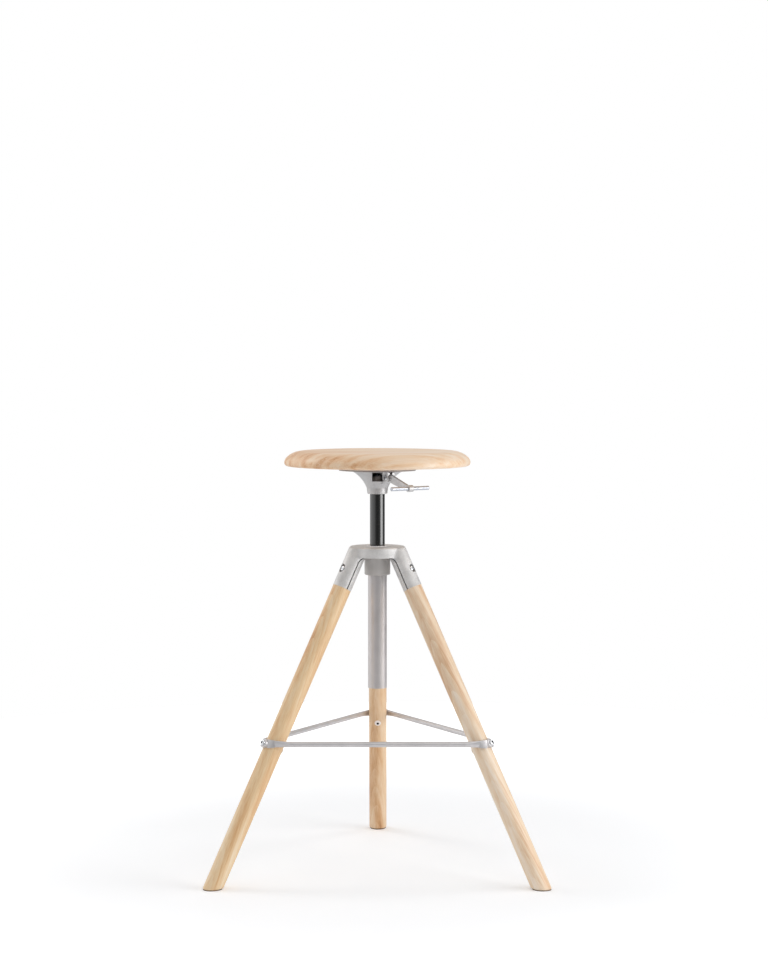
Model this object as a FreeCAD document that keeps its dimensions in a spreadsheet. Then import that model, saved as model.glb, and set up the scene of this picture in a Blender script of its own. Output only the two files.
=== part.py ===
"""A machinist stool: turned wooden seat on a gas spring, cast hub, three wooden legs and a footrest.

Millimetres, +Z up, X to the right and the rear leg at +Y. The origin is on the floor under the
middle of the stool's bounding box. The column's axis is vertical at X = 0, a little behind it.
"""
import FreeCAD, Part
import math
import os
import re

import Sketcher
from FreeCAD import Placement, Rotation, Vector

# Every driving dimension, in millimetres or degrees. Heights are measured from the floor, and
# places along a leg are distances down its axis from the apex, where the three axes meet.
SIZES = {
    # gaps, and how far a cut runs past what it cuts
    "overcut": 4,
    "fit_gap": 0.05,
    "thread_gap": 0.03,
    "end_gap": 1,
    # legs
    "apex_height": 688,
    "leg_lean": 26.7,
    "leg_radius": 17.5,
    "leg_chamfer": 2,
    "leg_reach": 800,
    "spigot_radius": 12,
    "spigot_top": 100,
    "spigot_chamfer": 1,
    "spigot_end_gap": 0.5,
    "glide_height": 1.4,
    "glide_inset": 1.6,
    "peg_radius": 3,
    "peg_length": 14,
    "peg_gap": 0.1,
    # hub casting
    "hub_top": 611.6,
    "hub_underside": 592.6,
    "hub_radius": 52.8,
    "hub_round": 3,
    "web_round": 18,
    "socket_blend": 15,
    "socket_radius": 17.9,
    "socket_bore": 12.1,
    "socket_end": 170.2,
    "socket_top": 55,
    "clamp_gap": 2.6,
    "clamp_boss_radius": 6,
    "clamp_boss_face": 8.5,
    "clamp_boss_root": 1,
    "clamp_skin": 0.8,
    "boss_gap": 0.2,
    # screws through the sockets and the legs
    "hub_bolt_at": 136,
    "foot_bolt_at": 491.5,
    "shank_radius": 3,
    "shank_gap": 0.2,
    "screw_point": 0.6,
    "head_radius": 5.5,
    "head_height": 3.3,
    "head_edge": 0.9,
    "head_flat": 2.6,
    "head_dome": 3.3,
    "key_radius": 2.3,
    "key_depth": 2,
    "key_land": 0.6,
    "small_key_radius": 1.6,
    "small_key_depth": 1.6,
    "seat_face": 13.2,
    "counterbore_radius": 8.4,
    "washer_radius": 8.2,
    "washer_height": 0.6,
    "sleeve_radius": 4,
    "sleeve_length": 22,
    "sleeve_head_radius": 6.3,
    "sleeve_head_height": 2.2,
    "sleeve_head_edge": 0.5,
    "sleeve_thread_depth": 20,
    # footrest
    "rod_radius": 5,
    "rod_height": 258.3,
    "rod_distance": 132.6,
    "rod_half": 163,
    "lug_start": 188,
    "lug_lap": 1,
    "lug_span": 60,
    "lug_start_radius": 6.3,
    "lug_corner": 0.5,
    "lug_thickness": 3,
    "lug_gap": 0.1,
    "lug_end_radius": 8.6,
    "lug_face": 23.7,
    # column under the hub
    "column_radius": 17.65,
    "column_bore": 15.85,
    "column_bottom": 343.6,
    "column_top": 611.4,
    "collar_radius": 24.35,
    "collar_bore": 17.7,
    "collar_bottom": 558,
    "collar_top": 592.4,
    "collar_chamfer": 1.5,
    "bush_flange_radius": 19,
    "bush_flange_top": 612.8,
    "bush_chamfer": 0.4,
    "bush_bottom": 560,
    "bush_bore": 14.06,
    "bush_radius": 15.8,
    # foot of the column: cap, thrust bearing and stop
    "cap_bottom": 348,
    "cap_top": 352,
    "cap_bore": 5.1,
    "race_radius": 12.5,
    "race_bore": 5.5,
    "lower_race_top": 354,
    "ball_radius": 2,
    "ball_ring": 9,
    "ball_height": 356.1,
    "ball_count": 8,
    "cage_radius": 12,
    "cage_bore": 6,
    "cage_thickness": 1.6,
    "pocket_gap": 0.15,
    "upper_race_bottom": 358.2,
    "upper_race_top": 360.2,
    "stop_radius": 10,
    "stop_top": 366.2,
    "clip_bottom": 345.6,
    "clip_top": 347.2,
    "clip_radius": 9,
    "clip_groove": 4,
    # gas spring
    "piston_rod_radius": 5,
    "piston_rod_bottom": 344.2,
    "piston_rod_chamfer": 0.5,
    "piston_bottom": 515,
    "piston_top": 527,
    "piston_radius": 11.92,
    "piston_seal_depth": 1.2,
    "piston_seal_height": 3,
    "cylinder_radius": 14,
    "cylinder_bore": 12,
    "cylinder_bottom": 457,
    "cylinder_top": 733,
    "cylinder_chamfer": 1,
    "gland_bottom": 457.5,
    "gland_top": 470,
    "gland_bore": 5.06,
    "rod_seal_top": 474,
    "valve_bottom": 700,
    "valve_top": 743.5,
    "valve_neck_radius": 10.5,
    "valve_pin_radius": 3,
    "valve_pin_bore": 3.05,
    "valve_pin_bottom": 716,
    "valve_pin_top": 747.9,
    "valve_pin_chamfer": 1.2,
    "valve_bore_bottom": 708,
    # seat bracket
    "bracket_bottom": 710.6,
    "bracket_foot_radius": 18.9,
    "bracket_waist_radius": 20,
    "bracket_waist_height": 721.5,
    "bracket_flare": 62,
    "bracket_top_radius": 48,
    "bracket_rim": 753.4,
    "bracket_bore": 14.05,
    "bracket_cavity_radius": 21,
    "bracket_cavity_floor": 733.5,
    "bracket_chamfer": 1,
    "window_half": 9.6,
    "window_bottom": 735,
    "window_top": 752.6,
    "slot_half": 3.1,
    "slot_inner": 13,
    "slot_inner_bottom": 744.3,
    "slot_start": 19,
    "slot_bottom": 736.3,
    "slot_knee": 32,
    "slot_outer": 58,
    "slot_outer_bottom": 724.3,
    "ear_half": 7.6,
    "ear_radius": 6.5,
    "ear_inner": 20,
    "ear_foot": 728.3,
    # release lever; its plane stands at lever_turn from the front
    "lever_turn": 35,
    "pivot_reach": 38,
    "pivot_height": 742.3,
    "pivot_radius": 2.5,
    "pivot_gap": 0.06,
    "pivot_head_radius": 4,
    "pivot_head": 1.4,
    "pivot_head_chamfer": 0.5,
    "pin_groove_radius": 2,
    "pin_groove_start": 7.8,
    "pin_groove_end": 8.7,
    "pin_end": 9.7,
    "pin_clip_radius": 4.4,
    "spot_face_radius": 5,
    "spot_face_depth": 3,
    "arm_half": 2.5,
    "bar_reach": 105,
    "bar_height": 725.3,
    "bar_radius": 3.75,
    "bar_half": 42.5,
    "bar_chamfer": 0.8,
    "bar_gap": 0.05,
    "boss_radius": 6.3,
    "boss_half": 5,
    "nose_underside": 748.2,
    "nose_top": 753.2,
    "nose_flat": 10,
    "arm_heel": 30,
    "arm_heel_height": 744.4,
    "arm_belly_start": 33,
    "arm_belly_start_height": 737.8,
    "arm_belly": 44,
    "arm_belly_height": 734.3,
    "arm_knee": 57,
    "arm_knee_height": 730,
    "arm_waist": 86,
    "arm_waist_height": 723.6,
    "arm_end": 102,
    "arm_end_underside": 721.2,
    "arm_end_top": 729.8,
    "arm_shoulder": 48,
    "arm_shoulder_height": 747.5,
    "arm_crest": 31,
    # seat and its plate
    "plate_radius": 72.5,
    "plate_underside": 754.8,
    "plate_top": 757.9,
    "seat_underside": 758,
    "seat_radius": 175,
    "seat_top": 791,
    "seat_nose": 769.5,
    "rim_width": 32,
    "nose_radius": 14,
    "nose_under_radius": 6,
    "seat_slope": 3.5,
    "seat_screw_ring": 62,
    "seat_screw_radius": 2.2,
    "seat_screw_length": 20,
    "bracket_screw_ring": 31,
    "bracket_screw_radius": 2.5,
    "bracket_screw_length": 11,
    "countersink_radius": 4.6,
    "countersink_depth": 2.4,
}

LEGS = {"rear": 0, "front_left": 120, "front_right": 240}
# The bracket's screws stand clear of its window and of the lever.
BRACKET_SCREW_TURNS = (0, 90, 180)
SEAT_SCREW_TURNS = (45, 135, 225, 315)
UP = Vector(0, 0, 1)

doc = FreeCAD.newDocument("MachinistStool")
sheet = doc.addObject("Spreadsheet::Sheet", "Sizes")
for row, (alias, number) in enumerate(SIZES.items(), start=1):
    sheet.set("A%d" % row, alias.replace("_", " "))
    sheet.set("B%d" % row, str(number))
    sheet.setAlias("B%d" % row, alias)
doc.recompute()


def bound(formula):
    """The formula with each cell's name pointed at the sheet."""
    names = r"[a-z][a-z_0-9]*"
    return re.sub(names, lambda word: ("Sizes." if word[0] in SIZES else "") + word[0], formula)


def value(formula):
    """The number that a formula over the cells comes to."""
    return float(sheet.evalExpression(bound(formula)))


def point(across, along, up):
    """A place from three formulas."""
    return Vector(value(across), value(along), value(up))


# The stool's box reaches from the front feet to the rear foot, and the origin is at its middle.
FOOT = "apex_height * tan(leg_lean)"
FOOT_LENGTH = "leg_radius / cos(leg_lean)"
REAR_REACH = value("%s + %s" % (FOOT, FOOT_LENGTH))
FRONT_REACH = value("%s * cos(60) + sqrt((cos(60) * %s)^2 + (sin(60) * leg_radius)^2)" % (FOOT, FOOT_LENGTH))
COLUMN = Placement(Vector(0, (FRONT_REACH - REAR_REACH) / 2, 0), Rotation())

# Three frames: a leg's own runs up the leg with +Y on its outer face, a cross screw's runs out
# through that face, and the lever's has +X outward along the arm with +Y along its pivot pin.
LEG = Placement(point("0", "0", "apex_height"), Rotation(Vector(1, 0, 0), value("leg_lean")))
LEVER = Placement(Vector(), Rotation(UP, value("lever_turn") - 90))
SIDEWAYS = Rotation(Vector(1, 0, 0), -90)


def leg_frame(turn):
    return Placement(Vector(), Rotation(UP, turn)).multiply(LEG)


def cross_frame(turn, along, out):
    """A screw across a leg: its head's seat is `out` from the leg's axis, `along` down from the apex."""
    return leg_frame(turn).multiply(Placement(Vector(0, value(out), -value(along)), SIDEWAYS))


nodes = []


def keep(item, label, place=None):
    """Names a finished sub-part and puts it in its place about the column."""
    item.Label = label
    item.Placement = COLUMN.multiply(place or Placement())
    nodes.append(item)


def group(label, bodies):
    """Identical pieces as one sub-part of separate solids."""
    compound = doc.addObject("Part::Compound", label)
    compound.Links = bodies
    keep(compound, label)


def sketch_on(body, role, name, offset="0", turn=0):
    """A sketch on one of the body's own planes, moved along its normal and turned about its upright."""
    plane = next(item for item in body.Origin.OriginFeatures if item.Role == role)
    sketch = body.newObject("Sketcher::SketchObject", name)
    sketch.AttachmentSupport = [(plane, "")]
    sketch.MapMode = "FlatFace"
    sketch.AttachmentOffset = Placement(Vector(), Rotation(Vector(0, 1, 0), turn))
    sketch.setExpression(".AttachmentOffset.Base.z", bound(offset))
    return sketch


def arc_between(start, end, bend):
    """A round side; its centre is left of the way from start to end where bend is positive."""
    middle = (start + end) / 2
    chord = end - start
    left = Vector(-chord.y, chord.x, 0).normalize()
    centre = middle + left * math.copysign(math.sqrt(bend**2 - (chord.Length / 2) ** 2), bend)
    first, last = (start, end) if bend > 0 else (end, start)
    from_angle = math.atan2(first.y - centre.y, first.x - centre.x)
    to_angle = math.atan2(last.y - centre.y, last.x - centre.x)
    if to_angle <= from_angle:
        to_angle += 2 * math.pi
    return Part.ArcOfCircle(Part.Circle(centre, UP, abs(bend)), from_angle, to_angle)


def draw(sketch, corners):
    """A closed outline; each corner is two formulas, and a third bends the side that ends there."""
    points = [Vector(value(corner[0]), value(corner[1]), 0) for corner in corners]
    bends = [value(corner[2]) if len(corner) == 3 else 0 for corner in corners]
    for index, bend in enumerate(bends):
        start, end = points[index - 1], points[index]
        sketch.addGeometry(arc_between(start, end, bend) if bend else Part.LineSegment(start, end))
    for index, corner in enumerate(corners):
        following = (index + 1) % len(corners)
        end_point = 1 if bends[index] < 0 else 2
        next_start = 2 if bends[following] < 0 else 1
        sketch.addConstraint(Sketcher.Constraint("Coincident", index, end_point, following, next_start))
        for kind, axis, formula in (("DistanceX", -2, corner[0]), ("DistanceY", -1, corner[1])):
            if formula == "0":
                sketch.addConstraint(Sketcher.Constraint("PointOnObject", index, end_point, axis))
            else:
                number = sketch.addConstraint(
                    Sketcher.Constraint(kind, -1, 1, index, end_point, value(formula)))
                sketch.setExpression("Constraints[%d]" % number, bound(formula))
        if bends[index]:
            number = sketch.addConstraint(Sketcher.Constraint("Radius", index, abs(bends[index])))
            sketch.setExpression("Constraints[%d]" % number, bound("abs(%s)" % corner[2]))


def new_body(name):
    return doc.addObject("PartDesign::Body", name)


def turned(name, corners):
    """A body turned about its own Z axis, from an outline of (radius, height) corners."""
    body = new_body(name)
    sketch = sketch_on(body, "XZ_Plane", name + "_outline")
    draw(sketch, corners)
    solid = body.newObject("PartDesign::Revolution", name + "_turned")
    solid.Profile = sketch
    solid.ReferenceAxis = (sketch, ["V_Axis"])
    solid.Angle = 360
    return body


def ring(name, bore, radius, bottom, top):
    """A turned body of plain rectangular section."""
    return turned(name, [(bore, bottom), (radius, bottom), (radius, top), (bore, top)])


def extrude(body, kind, name, role, corners, length, offset="0", turn=0, both_ways=True, reverse=False):
    """A Pad or Pocket of an outline on one of the body's planes."""
    sketch = sketch_on(body, role, name + "_outline", offset, turn)
    draw(sketch, corners)
    solid = body.newObject("PartDesign::" + kind, name)
    solid.Profile = sketch
    solid.setExpression("Length", bound(length))
    solid.Midplane = both_ways
    solid.Reversed = reverse
    return solid


def round_piece(body, kind, name, radius, length, place):
    """An Additive or Subtractive cylinder along its place's own Z axis."""
    solid = body.newObject("PartDesign::%sCylinder" % kind, name)
    solid.setExpression("Radius", bound(radius))
    solid.setExpression("Height", bound(length))
    solid.Placement = place
    return solid


def polar(body, name, original, count):
    """Repeats a feature round the body's Z axis."""
    pattern = body.newObject("PartDesign::PolarPattern", name)
    pattern.Originals = [original]
    axis = next(item for item in body.Origin.OriginFeatures if item.Role == "Z_Axis")
    pattern.Axis = (axis, [""])
    pattern.Angle = 360
    pattern.Occurrences = count
    body.Tip = pattern


def dress(body, kind, name, size, test):
    """A Fillet or Chamfer on the edges of the body so far that pass the test."""
    doc.recompute()
    base = body.Tip
    edges = ["Edge%d" % number for number, edge in enumerate(base.Shape.Edges, start=1) if test(edge)]
    solid = body.newObject("PartDesign::" + kind, name)
    solid.Base = (base, edges)
    solid.setExpression("Radius" if kind == "Fillet" else "Size", bound(size))


def hexagon(radius):
    """The corners of a key's hexagon, turned so that none of them lies on an axis."""
    corner = "%s * cos(%d)", "%s * sin(%d)"
    return [tuple(formula % (radius, angle) for formula in corner) for angle in range(10, 370, 60)]


def primitive(kind, name, place, **sizes):
    solid = doc.addObject("Part::" + kind, name)
    for side, formula in sizes.items():
        solid.setExpression(side, bound(formula))
    solid.Placement = place
    return solid


def combine(kind, name, base, tool):
    """A Cut or Common of two shapes."""
    solid = doc.addObject("Part::" + kind, name)
    solid.Base = base
    solid.Tool = tool
    return solid


def fuse(name, shapes):
    solid = doc.addObject("Part::MultiFuse", name)
    solid.Shapes = shapes
    return solid


def make_leg(side, turn):
    """A turned leg: spigot for the socket above, cut flat to the floor below."""
    name = "leg_" + side
    body = turned(name, [
        ("0", "-spigot_top"),
        ("spigot_radius - spigot_chamfer", "-spigot_top"),
        ("spigot_radius", "-spigot_top - spigot_chamfer"),
        ("spigot_radius", "-socket_end"),
        ("leg_radius", "-socket_end"),
        ("leg_radius", "-leg_reach"),
        ("0", "-leg_reach"),
    ])
    floor_line = "(glide_height - apex_height - (%s) * leg_radius * sin(leg_lean)) / cos(leg_lean)"
    extrude(body, "Pocket", name + "_floor_cut", "YZ_Plane", [
        ("-2 * leg_radius", floor_line % "-2"),
        ("-2 * leg_radius", "-leg_reach - overcut"),
        ("2 * leg_radius", "-leg_reach - overcut"),
        ("2 * leg_radius", floor_line % "2"),
    ], "4 * leg_radius")
    foot_line = value("glide_height")
    dress(body, "Chamfer", name + "_foot_edge", "leg_chamfer",
          lambda edge: all(abs(LEG.multVec(spot).z - foot_line) < 0.01 for spot in edge.discretize(6)))
    hub_hole = Placement(point("0", "-leg_radius - overcut", "-hub_bolt_at"), SIDEWAYS)
    foot_hole = Placement(point("0", "-leg_radius - overcut", "-foot_bolt_at"), SIDEWAYS)
    through = "2 * (leg_radius + overcut)"
    round_piece(body, "Subtractive", name + "_hub_hole", "shank_radius + shank_gap", through, hub_hole)
    round_piece(body, "Subtractive", name + "_foot_hole", "shank_radius + shank_gap", through, foot_hole)
    round_piece(body, "Subtractive", name + "_boss_hole", "clamp_boss_radius + boss_gap",
                "leg_radius + overcut - clamp_boss_face + boss_gap", hub_hole)
    round_piece(body, "Subtractive", name + "_sleeve_hole", "sleeve_radius + peg_gap",
                "overcut + sleeve_length + end_gap", foot_hole)
    foot = LEG.inverse().multiply(Placement(point("0", FOOT, "0"), Rotation()))
    round_piece(body, "Subtractive", name + "_peg_hole", "peg_radius + peg_gap",
                "glide_height + peg_length + peg_gap", foot)
    keep(body, name, leg_frame(turn))


def make_glide(side, turn):
    """A thin glide of the leg's own section, with a peg up into the leg's end."""
    name = "leg_glide_" + side
    low_end = LEG.multiply(Placement(point("0", "0", "-leg_reach"), Rotation()))
    bar = primitive("Cylinder", name + "_bar", low_end,
                    Radius="leg_radius - glide_inset", Height="leg_reach - foot_bolt_at")
    span = "6 * leg_radius"
    corner = Placement(point("-3 * leg_radius", FOOT + " - 3 * leg_radius", "0"), Rotation())
    slab = primitive("Box", name + "_slab", corner, Length=span, Width=span, Height="glide_height")
    disc = combine("Common", name + "_disc", bar, slab)
    peg = primitive("Cylinder", name + "_peg", Placement(point("0", FOOT, "0"), Rotation()),
                    Radius="peg_radius", Height="glide_height + peg_length")
    keep(fuse(name, [disc, peg]), name, Placement(Vector(), Rotation(UP, turn)))


def leg_spot(along, out):
    """A place in the rear leg's plane as (Y, height) formulas, from its distances along and off the axis."""
    return (
        "(%s) * sin(leg_lean) + (%s) * cos(leg_lean)" % (along, out),
        "apex_height - (%s) * cos(leg_lean) + (%s) * sin(leg_lean)" % (along, out),
    )


def level_spot(height, out):
    """The same, where the line at that distance off the axis reaches a height."""
    return leg_spot("(apex_height + (%s) * sin(leg_lean) - (%s)) / cos(leg_lean)" % (out, height), out)


def clamp_side(gap, end):
    """The side view of a socket's inner half, from the web down to an end, less a gap above and outside."""
    face = "-(%s)" % gap
    top = "hub_underside - (%s)" % gap
    deep = "-socket_radius - overcut"
    corner_along = "(apex_height + (%s) * sin(leg_lean) - (%s)) / cos(leg_lean)" % (face, top)
    bend = "(web_round - (%s))" % gap
    back = bend + " * tan(45 - leg_lean / 2)"
    corner_across = leg_spot(corner_along, face)[0]
    return [
        leg_spot(end, face),
        leg_spot(end, deep),
        level_spot(top, deep),
        ("%s - %s" % (corner_across, back), top),
        leg_spot("%s + %s" % (corner_along, back), face) + ("-" + bend,),
    ]


def make_hub():
    """The casting: a round web with three sockets, each open on its inner side for a clamp."""
    body = ring("hub_casting", "0", "hub_radius", "hub_underside", "hub_top")
    low_end = LEG.multiply(Placement(point("0", "0", "-socket_end"), Rotation()))
    socket = round_piece(body, "Additive", "hub_socket", "socket_radius", "socket_end - socket_top", low_end)
    polar(body, "hub_sockets", socket, len(LEGS))
    extrude(body, "Pocket", "hub_top_cut", "XZ_Plane", [
        ("-2 * hub_radius", "hub_top"),
        ("2 * hub_radius", "hub_top"),
        ("2 * hub_radius", "apex_height"),
        ("-2 * hub_radius", "apex_height"),
    ], "4 * hub_radius")
    dress(body, "Fillet", "hub_socket_blend", "socket_blend",
          lambda edge: isinstance(edge.Curve, Part.BSplineCurve))
    top = value("hub_top")
    dress(body, "Fillet", "hub_top_round", "hub_round",
          lambda edge: abs(edge.BoundBox.ZMin - top) < 0.01)
    round_piece(body, "Subtractive", "hub_column_bore", "collar_bore", "hub_top + overcut - collar_bottom",
                Placement(point("0", "0", "collar_bottom"), Rotation()))
    bore = round_piece(body, "Subtractive", "hub_spigot_bore", "socket_bore",
                       "socket_end + overcut - spigot_top + spigot_end_gap",
                       low_end.multiply(Placement(point("0", "0", "-overcut"), Rotation())))
    polar(body, "hub_spigot_bores", bore, len(LEGS))
    slot = extrude(body, "Pocket", "hub_clamp_slot", "YZ_Plane",
                   clamp_side("0", "socket_end + overcut"), "2 * socket_radius + overcut")
    polar(body, "hub_clamp_slots", slot, len(LEGS))
    hole = round_piece(body, "Subtractive", "hub_bolt_hole", "shank_radius + shank_gap",
                       "socket_radius + overcut", cross_frame(0, "hub_bolt_at", "0"))
    polar(body, "hub_bolt_holes", hole, len(LEGS))
    sink = round_piece(body, "Subtractive", "hub_counterbore", "counterbore_radius",
                       "socket_radius + overcut - seat_face", cross_frame(0, "hub_bolt_at", "seat_face"))
    polar(body, "hub_counterbores", sink, len(LEGS))
    keep(body, "hub_casting")


def make_clamp(side, turn):
    """The strip that closes a socket's inner side, with a threaded boss let into the spigot."""
    name = "leg_clamp_" + side
    prism = new_body(name + "_prism")
    extrude(prism, "Pad", name + "_side", "YZ_Plane", clamp_side("clamp_gap", "socket_end"),
            "2 * (socket_radius + overcut)")
    low_end = LEG.multiply(Placement(point("0", "0", "-socket_end"), Rotation()))
    length = "socket_end - socket_top"
    outer = primitive("Cylinder", name + "_outer", low_end, Radius="socket_radius", Height=length)
    inner = primitive("Cylinder", name + "_inner", low_end, Radius="socket_bore", Height=length)
    strip = combine("Common", name + "_strip", combine("Cut", name + "_wall", outer, inner), prism)
    boss_root = cross_frame(0, "hub_bolt_at", "-socket_bore - clamp_boss_root")
    boss = primitive("Cylinder", name + "_boss", boss_root,
                     Radius="clamp_boss_radius", Height="socket_bore + clamp_boss_root - clamp_boss_face")
    thread_end = cross_frame(0, "hub_bolt_at", "clamp_skin - socket_radius")
    thread = primitive("Cylinder", name + "_thread", thread_end,
                       Radius="shank_radius + thread_gap", Height="socket_radius")
    clamp = combine("Cut", name, fuse(name + "_blank", [strip, boss]), thread)
    keep(clamp, name, Placement(Vector(), Rotation(UP, turn)))


def button_screw(name, length):
    """A button-head screw; its seat is at its own origin and its head points along +Z."""
    body = turned(name, [
        ("0", "-(%s)" % length),
        ("shank_radius - screw_point", "-(%s)" % length),
        ("shank_radius", "screw_point - (%s)" % length),
        ("shank_radius", "0"),
        ("head_radius", "0"),
        ("head_radius", "head_edge"),
        ("head_flat", "head_height", "head_dome"),
        ("0", "head_height"),
    ])
    extrude(body, "Pocket", name + "_key", "XY_Plane", hexagon("key_radius"), "key_depth",
            offset="head_height", both_ways=False)
    return body


def cross_screws(label, length, along, seat):
    """One screw through each leg or socket, as one sub-part."""
    screws = []
    for side, turn in LEGS.items():
        screw = button_screw("%s_%s" % (label, side), length)
        screw.Placement = cross_frame(turn, along, seat)
        screws.append(screw)
    group(label, screws)


def hub_washers():
    """Dark washers in the sockets' recesses, wider than the screws' heads."""
    washers = []
    for side, turn in LEGS.items():
        washer = ring("hub_washer_" + side, "shank_radius + shank_gap", "washer_radius", "0", "washer_height")
        washer.Placement = cross_frame(turn, "hub_bolt_at", "seat_face")
        washers.append(washer)
    group("hub_washers", washers)


def sleeve_nuts():
    """Long nuts that sit in each leg from its inner face, where their domed heads show."""
    nuts = []
    for side, turn in LEGS.items():
        name = "sleeve_nut_" + side
        nut = turned(name, [
            ("0", "-sleeve_length"),
            ("sleeve_radius", "-sleeve_length"),
            ("sleeve_radius", "0"),
            ("sleeve_head_radius", "0"),
            ("sleeve_head_radius", "sleeve_head_edge"),
            ("key_radius + key_land", "sleeve_head_height", "2 * sleeve_head_radius"),
            ("0", "sleeve_head_height"),
        ])
        extrude(nut, "Pocket", name + "_key", "XY_Plane", hexagon("key_radius"), "key_depth",
                offset="sleeve_head_height", both_ways=False)
        round_piece(nut, "Subtractive", name + "_thread", "shank_radius + thread_gap", "sleeve_thread_depth",
                    Placement(point("0", "0", "-sleeve_length"), Rotation()))
        inward = Placement(point("0", "-leg_radius", "-foot_bolt_at"), Rotation(Vector(1, 0, 0), 90))
        nut.Placement = leg_frame(turn).multiply(inward)
        nuts.append(nut)
    group("footrest_sleeve_nuts", nuts)


THROUGH_LUGS = "lug_face - leg_radius + 2 * overcut"


def beside_lugs(turn):
    """A place on a leg's axis, below the lugs, from where lug_span reaches past them up the leg."""
    return leg_frame(turn).multiply(Placement(point("0", "0", "-foot_bolt_at - lug_span / 2"), Rotation()))


def make_lug(name, hand, bore):
    """A rod's flattened end: it widens as it bends round the leg's outer face, up to its round end."""
    turn = LEGS["front_left"] if hand < 0 else LEGS["front_right"]
    low = beside_lugs(turn)
    outer = primitive("Cylinder", name + "_outer", low, Radius=bore + " + lug_thickness", Height="lug_span")
    inner = primitive("Cylinder", name + "_inner", low, Radius=bore, Height="lug_span")
    wall = combine("Cut", name + "_wall", outer, inner)
    bolt_across = "(foot_bolt_at * sin(leg_lean) + leg_radius * cos(leg_lean)) * sin(60)"
    depth = "8 * lug_thickness"
    start = Vector(hand * value("lug_start"), -value("rod_distance + rod_radius"), value("rod_height"))
    near = Placement(start, Rotation(UP, 90 if hand < 0 else -90))
    wedge = primitive("Wedge", name + "_wedge", near,
                      Ymin="0", Ymax=bolt_across + " - lug_start - lug_thickness")
    for side, formula in {
        "Xmin": "0" if hand < 0 else "-" + depth,
        "X2min": "0" if hand < 0 else "-" + depth,
        "Xmax": depth if hand < 0 else "0",
        "X2max": depth if hand < 0 else "0",
        "Zmin": "-lug_start_radius",
        "Zmax": "lug_start_radius",
        "Z2min": "lug_corner - lug_end_radius * cos(leg_lean)",
        "Z2max": "lug_end_radius * cos(leg_lean) - lug_corner",
    }.items():
        wedge.setExpression(side, bound(formula))
    end = primitive("Cylinder", name + "_end", cross_frame(turn, "foot_bolt_at", "leg_radius - overcut"),
                    Radius="lug_end_radius", Height=THROUGH_LUGS)
    return combine("Common", name + "_blade", wall, fuse(name + "_face", [wedge, end]))


def make_footrest_rod(side, turn):
    """A round rod between two legs, its ends flattened into lugs; the front one is drawn, then turned."""
    name = "footrest_rod_" + side
    across = Rotation(Vector(0, 1, 0), 90)
    centre = point("-rod_half", "-rod_distance", "rod_height")
    pieces = [primitive("Cylinder", name + "_rod", Placement(centre, across),
                        Radius="rod_radius", Height="2 * rod_half")]
    inner_bore = "(leg_radius + lug_gap)"
    outer_bore = "(leg_radius + 2 * lug_gap + lug_thickness)"
    for hand, bore in ((-1, inner_bore), (1, outer_bore)):
        end = "%s_%s" % (name, "left" if hand < 0 else "right")
        pieces.append(make_lug(end, hand, bore))
        round_end = doc.addObject("Part::Circle", end + "_round")
        round_end.setExpression("Radius", bound("rod_radius"))
        round_end.Placement = Placement(Vector(hand * value("rod_half"), centre.y, centre.z), across)
        flat_end = doc.addObject("Part::Ellipse", end + "_flat")
        flat_end.setExpression("MajorRadius", bound("lug_start_radius"))
        flat_end.setExpression("MinorRadius", bound("lug_thickness / 2"))
        leg_distance = value("(apex_height - rod_height) * tan(leg_lean) * cos(60)")
        wrap = value(bore + " + lug_thickness / 2") * value("sqrt((cos(60) / cos(leg_lean))^2 + sin(60)^2)")
        flat_place = Vector(hand * value("lug_start + lug_lap"), -leg_distance - wrap, centre.z)
        flat_end.Placement = Placement(flat_place, across)
        taper = doc.addObject("Part::Loft", end + "_taper")
        taper.Sections = [round_end, flat_end]
        taper.Solid = True
        pieces.append(taper)
    blank = fuse(name + "_blank", pieces)
    cuts = []
    for end_leg in ("front_left", "front_right"):
        end_turn = LEGS[end_leg]
        hole_start = cross_frame(end_turn, "foot_bolt_at", "leg_radius - overcut")
        cuts.append(primitive("Cylinder", "%s_%s_hole" % (name, end_leg), hole_start,
                              Radius="shank_radius + shank_gap", Height=THROUGH_LUGS))
        cuts.append(primitive("Cylinder", "%s_%s_room" % (name, end_leg), beside_lugs(end_turn),
                              Radius="leg_radius + lug_gap", Height="lug_span"))
    rod = combine("Cut", name, blank, fuse(name + "_cuts", cuts))
    keep(rod, name, Placement(Vector(), Rotation(UP, turn)))


def make_column():
    """The column tube under the hub, its collar and guide bush, and the plate that closes its foot."""
    keep(ring("column_tube", "column_bore", "column_radius", "column_bottom", "column_top"), "column_tube")
    collar = turned("column_collar", [
        ("collar_bore", "collar_bottom"),
        ("collar_radius - collar_chamfer", "collar_bottom"),
        ("collar_radius", "collar_bottom + collar_chamfer"),
        ("collar_radius", "collar_top"),
        ("collar_bore", "collar_top"),
    ])
    keep(collar, "column_collar")
    bush = turned("guide_bush", [
        ("bush_bore", "bush_bottom"),
        ("bush_radius", "bush_bottom"),
        ("bush_radius", "hub_top"),
        ("bush_flange_radius", "hub_top"),
        ("bush_flange_radius", "bush_flange_top - bush_chamfer"),
        ("bush_flange_radius - bush_chamfer", "bush_flange_top"),
        ("bush_bore", "bush_flange_top"),
    ])
    keep(bush, "guide_bush")
    keep(ring("column_base_plate", "cap_bore", "bush_radius", "cap_bottom", "cap_top"),
         "column_base_plate")
    keep(ring("thrust_lower_race", "race_bore", "race_radius", "cap_top", "lower_race_top"),
         "thrust_lower_race")


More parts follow.
